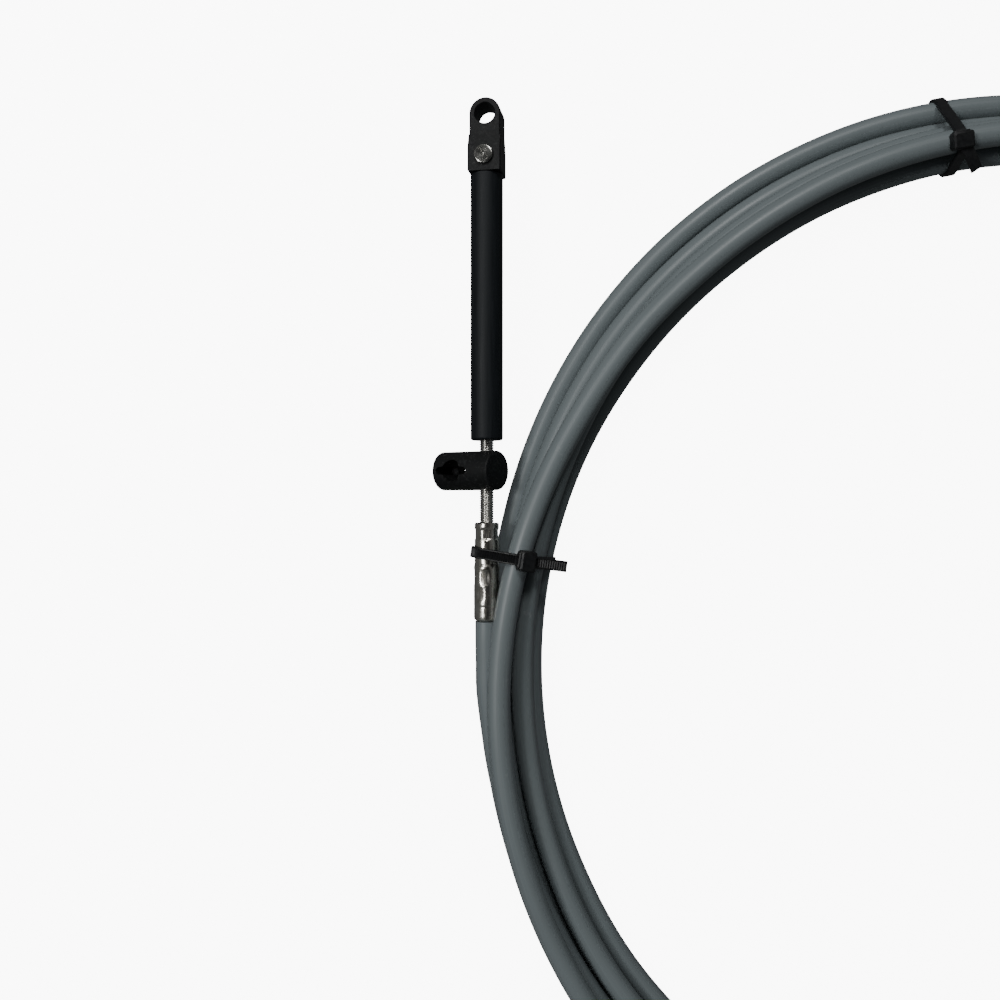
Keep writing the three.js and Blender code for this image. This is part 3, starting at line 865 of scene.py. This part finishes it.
def floor_material():
    """Near-white ground with a barely seen tone."""
    s = Shade("ground")
    tone = s.noise(9, 2)
    colour = s.mix(s.spread(tone, 0, 1), (0.9, 0.9, 0.9), (0.93, 0.93, 0.925))
    material = s.finish(colour, s.spread(tone, 0.85, 0.95))
    s.shader.inputs["Emission Color"].default_value = (1, 1, 1, 1)
    s.shader.inputs["Emission Strength"].default_value = FLOOR_GLOW
    return material


# Soft lights: name, place in metres, size in metres and power in watts
LIGHTS = [
    ("left", (-1.3, 0.1, 1.6), 0.45, 13),
    ("behind", (-0.1, 1.4, 1.6), 0.45, 12),
    ("corner", (-1.0, 1.0, 1.5), 0.4, 5),
]
SKY_ABOVE = 0.015
SKY_ROUND = 0.1


def make_stage():
    """The pale ground, the soft lights and the sky."""
    data = bpy.data.meshes.new("floor")
    data.from_pydata([(-3, -3, 0), (3, -3, 0), (3, 3, 0), (-3, 3, 0)], [], [(0, 1, 2, 3)])
    data.materials.append(floor_material())
    floor = link("floor", data)
    floor.visible_diffuse = False
    floor.visible_glossy = False
    for name, spot, size, power in LIGHTS:
        lamp = bpy.data.lights.new(name, "AREA")
        lamp.size = size
        lamp.energy = power
        thing = link(name, lamp)
        thing.location = spot
        aim = Vector((-0.1, 0.02, 0)) - thing.location
        thing.rotation_euler = aim.to_track_quat("-Z", "Y").to_euler()
    world = bpy.data.worlds.new("sky")
    world.use_nodes = True
    nodes = world.node_tree.nodes
    nodes["Background"].inputs["Color"].default_value = (0.95, 0.98, 1, 1)
    place = nodes.new("ShaderNodeTexCoord")
    parts = nodes.new("ShaderNodeSeparateXYZ")
    height = nodes.new("ShaderNodeMapRange")
    height.interpolation_type = "SMOOTHSTEP"
    for key, value in {"From Min": 0.97, "From Max": 0.8, "To Min": SKY_ABOVE, "To Max": SKY_ROUND}.items():
        height.inputs[key].default_value = value
    links = world.node_tree.links
    links.new(place.outputs["Generated"], parts.inputs[0])
    links.new(parts.outputs["Z"], height.inputs["Value"])
    links.new(height.outputs[0], nodes["Background"].inputs["Strength"])
    bpy.context.scene.world = world


def ready(thing, body, slot, material, *nodes):
    """Puts a piece on its body, gives it its material, and takes the plain nodes' place."""
    thing.data.materials.clear()
    thing.data.materials.append(material)
    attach(thing, body)
    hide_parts(*nodes)
    return thing


make_camera()
make_stage()
jacket = jacket_material()
nickel = nickel_material()
steel = steel_material()
sleeve_black = sleeve_material()
black = moulded_material()
tie_black = tie_material()

cable, cable_path, cable_length = make_cable()
ready(cable, "root", "jacket", jacket, "cable_coil", "engine_lead", "helm_lead")
hub_place = LAYOUT @ Matrix.Translation((0, 0, FITTING_Z))
ready(make_hub("hub", 5.4, hub_place), "root", "hub", nickel, "engine_hub")
ready(make_guide(), "root", "steel", steel, "guide_tube")
ready(make_sleeve(), "rod_end", "sleeve", sleeve_black, "slide_sleeve")
ready(make_eye(), "rod_end", "black_plastic", black, "terminal_eye")
ready(make_rivet(), "rod_end", "rivet", rivet_material(), "eye_rivet")
ready(make_barrel(), "barrel", "black_plastic", black, "anchor_barrel")

helm_place = LAYOUT @ Matrix.Translation((HELM_X, HELM_Y, FITTING_Z))
helm_hub = ready(make_hub("hub_far", 7.5, helm_place), "root", "hub", nickel, "helm_hub")
helm_tube = ready(make_helm_tube(), "root", "steel", steel, "helm_tube")
for node in ("core_rod", "helm_rod"):
    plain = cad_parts[node]
    plain.data.materials.clear()
    plain.data.materials.append(steel)
    plain.data.shade_smooth()
    plain.data.set_sharp_from_angle(angle=math.radians(38))

engine_origin = (19.4, 19.35)
engine_out = (-0.988, 0.153)
engine_circles = crossings(168.6) + [hub_circle(engine_origin, engine_out, 0)]
ready(make_tie("tie_a", engine_origin, engine_out, engine_circles, 6.9, 0, 0, 1, True),
      "root", "tie", tie_black, "tie_engine")
top_origin, top_out = tie_frame(100.6)
ready(make_tie("tie_b", top_origin, top_out, crossings(100.6), 2.6, -3.4, 24, -8, False, 11),
      "root", "tie", tie_black, "tie_top")
low_origin, low_out = tie_frame(270)
ready(make_tie("tie_c", low_origin, low_out, crossings(270), 7, 1.5, 8, -2, False),
      "root", "tie", tie_black, "tie_bottom")
side_origin, side_out = tie_frame(-16)
side_circles = crossings(344) + [hub_circle(side_origin, side_out, HELM_X)]
ready(make_tie("tie_d", side_origin, side_out, side_circles, 7, 0, -6, 0, True),
      "root", "tie", tie_black, "tie_helm")
